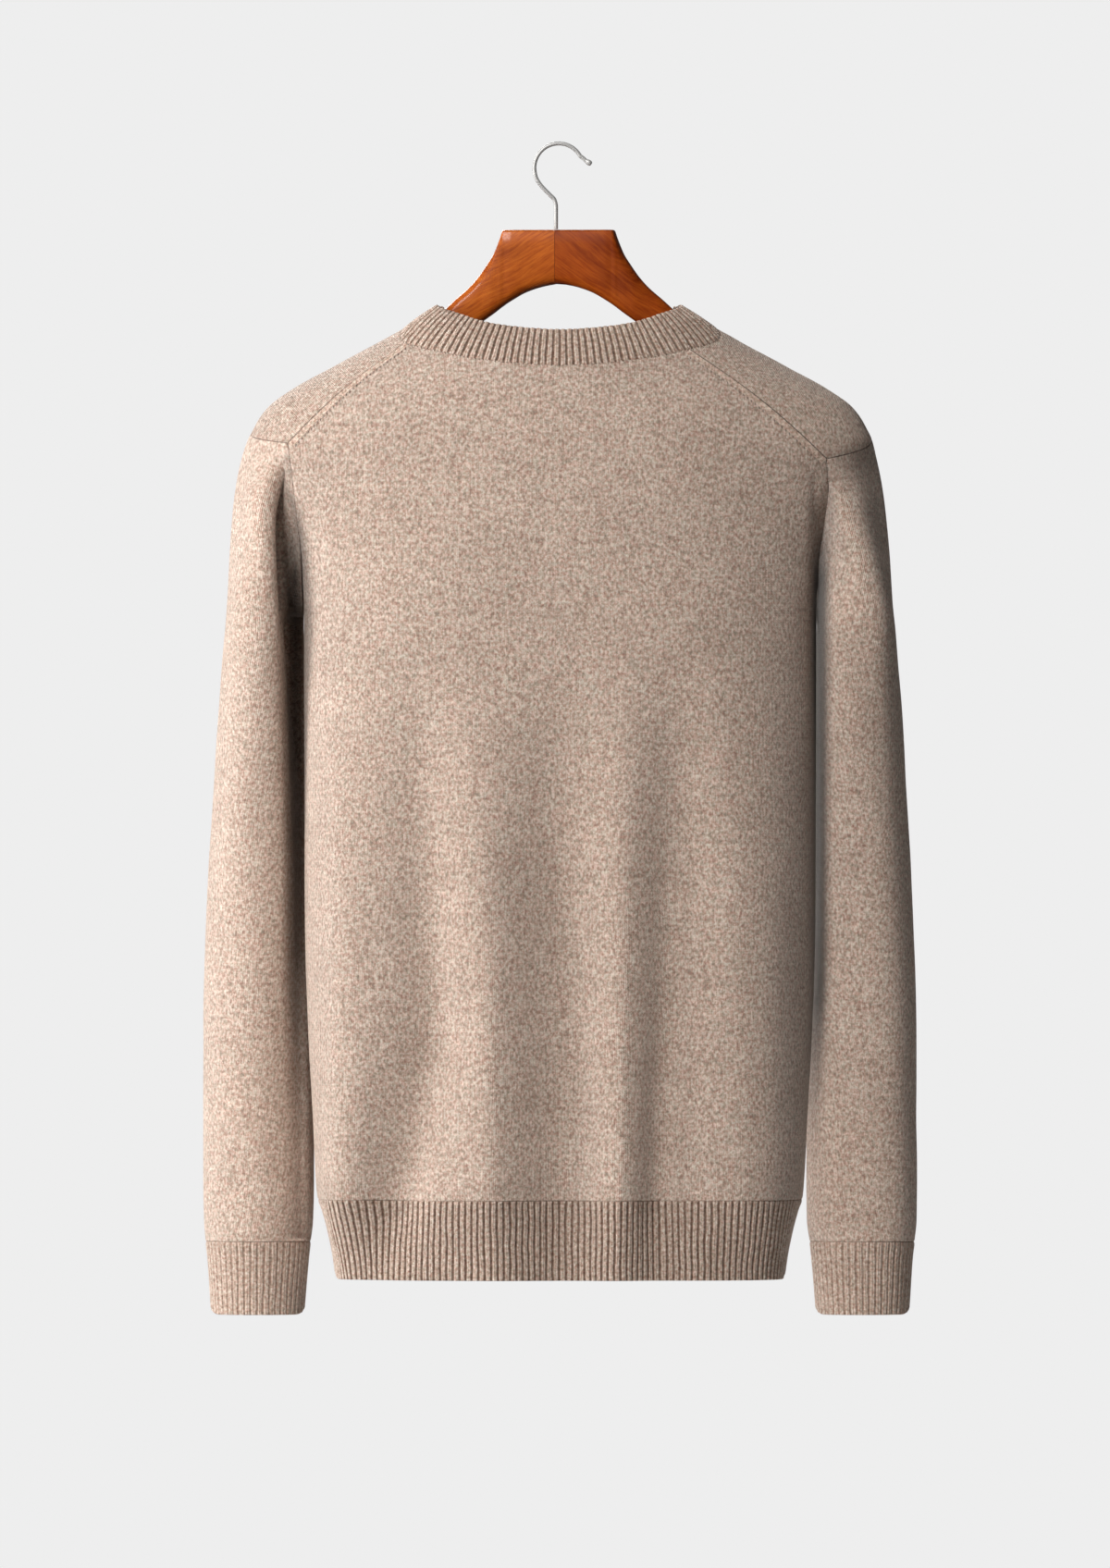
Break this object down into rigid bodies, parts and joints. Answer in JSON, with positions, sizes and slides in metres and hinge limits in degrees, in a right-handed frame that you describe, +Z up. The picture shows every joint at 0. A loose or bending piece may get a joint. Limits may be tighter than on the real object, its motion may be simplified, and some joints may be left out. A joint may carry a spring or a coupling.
{
  "type": "v-neck sweater on a wooden hanger",
  "caption": "Fine-knit v-neck sweater with long sleeves and ribbed neckband, cuffs and hem, filled out as if worn, hanging open on a wooden hanger with a steel wire hook.",
  "frame": {"origin": "inside top of the hook, where a rail touches it", "axes": "+Z up, towards the hook; the V neck faces -Y and the back of the sweater faces +Y; +X towards the wearer's left sleeve as built (the left of the picture, which shows the back)"},
  "size_m": [0.5164, 0.2051, 0.8487],
  "materials": {
    "knit": "matte",
    "rib": "matte",
    "hanger_wood": "gloss",
    "hook_steel": "satin"
  },
  "bodies": {
    "root": {"back_panel": "knit", "front_panel": "knit", "sleeve_left": "knit", "sleeve_right": "knit", "cuff_left": "rib", "cuff_right": "rib", "hem_rib_back": "rib", "hem_rib_front": "rib", "neckband": "rib", "hanger_left": "hanger_wood", "hanger_right": "hanger_wood", "hook": "hook_steel"}
  },
  "joints": []
}
